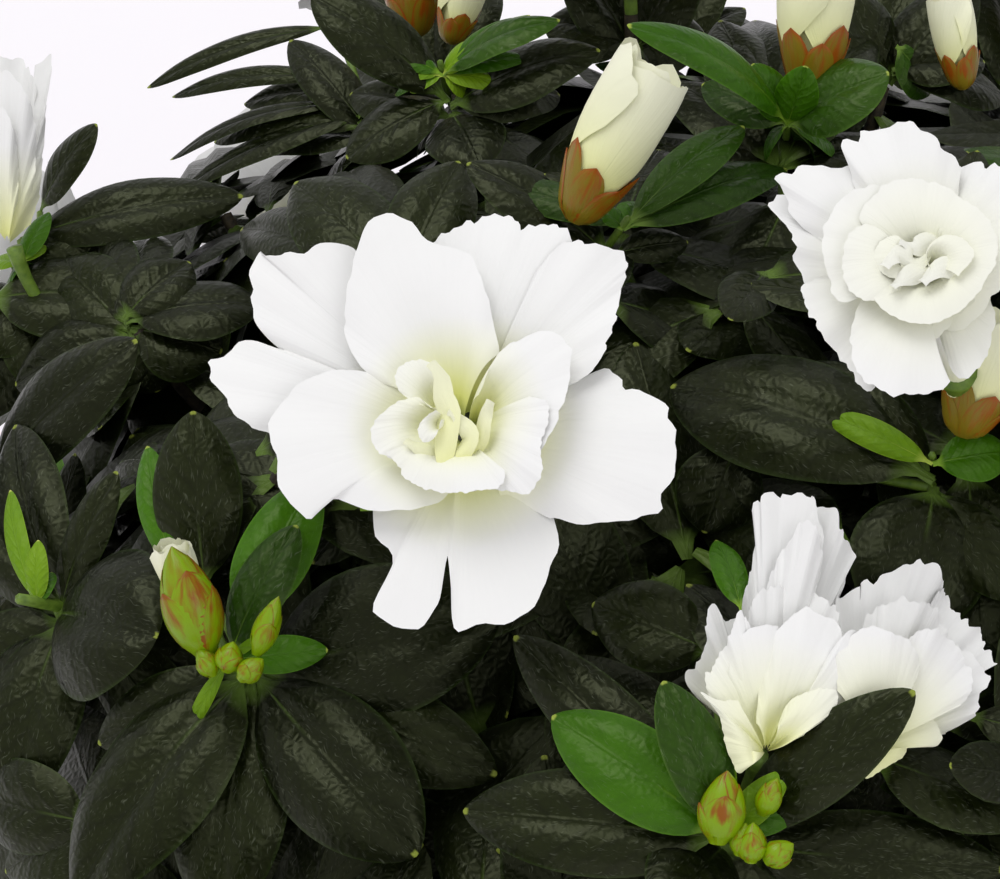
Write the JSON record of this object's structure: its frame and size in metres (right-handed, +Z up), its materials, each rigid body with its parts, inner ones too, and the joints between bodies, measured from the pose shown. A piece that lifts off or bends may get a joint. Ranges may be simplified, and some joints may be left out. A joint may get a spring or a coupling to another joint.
{
  "type": "potted azalea shrub",
  "caption": "Low domed flowering shrub with dark leathery leaves and white double blooms, on a short branching trunk in a plain round tapered pot.",
  "frame": {"origin": "middle of the pot's flat underside, which is the plane it stands on", "axes": "+Z up; -Y to the front, the side that the picture shows; +X to the right as seen from the front"},
  "size_m": [0.3598, 0.3521, 0.311],
  "materials": {
    "pot": "moulded, matt terracotta colour",
    "root_ball": "moist dark peat, rough",
    "bark": "grey-brown, finely furrowed bark",
    "leaves": "leathery dark green with a soft gloss, young leaves bright green",
    "petals": "soft matt white, cream towards the throat"
  },
  "bodies": {
    "root": {"pot": "pot", "root_ball": "root_ball", "trunk": "bark", "bough_top": "bark", "bough_shoulder_1": "bark", "bough_shoulder_2": "bark", "bough_shoulder_3": "bark", "bough_shoulder_4": "bark", "bough_shoulder_5": "bark", "bough_skirt_1": "bark", "bough_skirt_2": "bark", "bough_skirt_3": "bark", "bough_skirt_4": "bark", "bough_skirt_5": "bark", "bough_skirt_6": "bark", "bough_skirt_7": "bark", "foliage_top": "leaves", "foliage_shoulder_1": "leaves", "foliage_shoulder_2": "leaves", "foliage_shoulder_3": "leaves", "foliage_shoulder_4": "leaves", "foliage_shoulder_5": "leaves", "foliage_skirt_1": "leaves", "foliage_skirt_2": "leaves", "foliage_skirt_3": "leaves", "foliage_skirt_4": "leaves", "foliage_skirt_5": "leaves", "foliage_skirt_6": "leaves", "foliage_skirt_7": "leaves", "bloom_01": "petals", "bloom_02": "petals", "bloom_03": "petals", "bloom_04": "petals", "bloom_05": "petals", "bloom_06": "petals", "bloom_07": "petals", "bloom_08": "petals", "bloom_09": "petals", "bloom_10": "petals", "bloom_11": "petals", "bloom_12": "petals", "bloom_13": "petals", "bloom_14": "petals", "bloom_15": "petals", "bloom_16": "petals", "bloom_17": "petals", "bloom_18": "petals"}
  },
  "joints": []
}
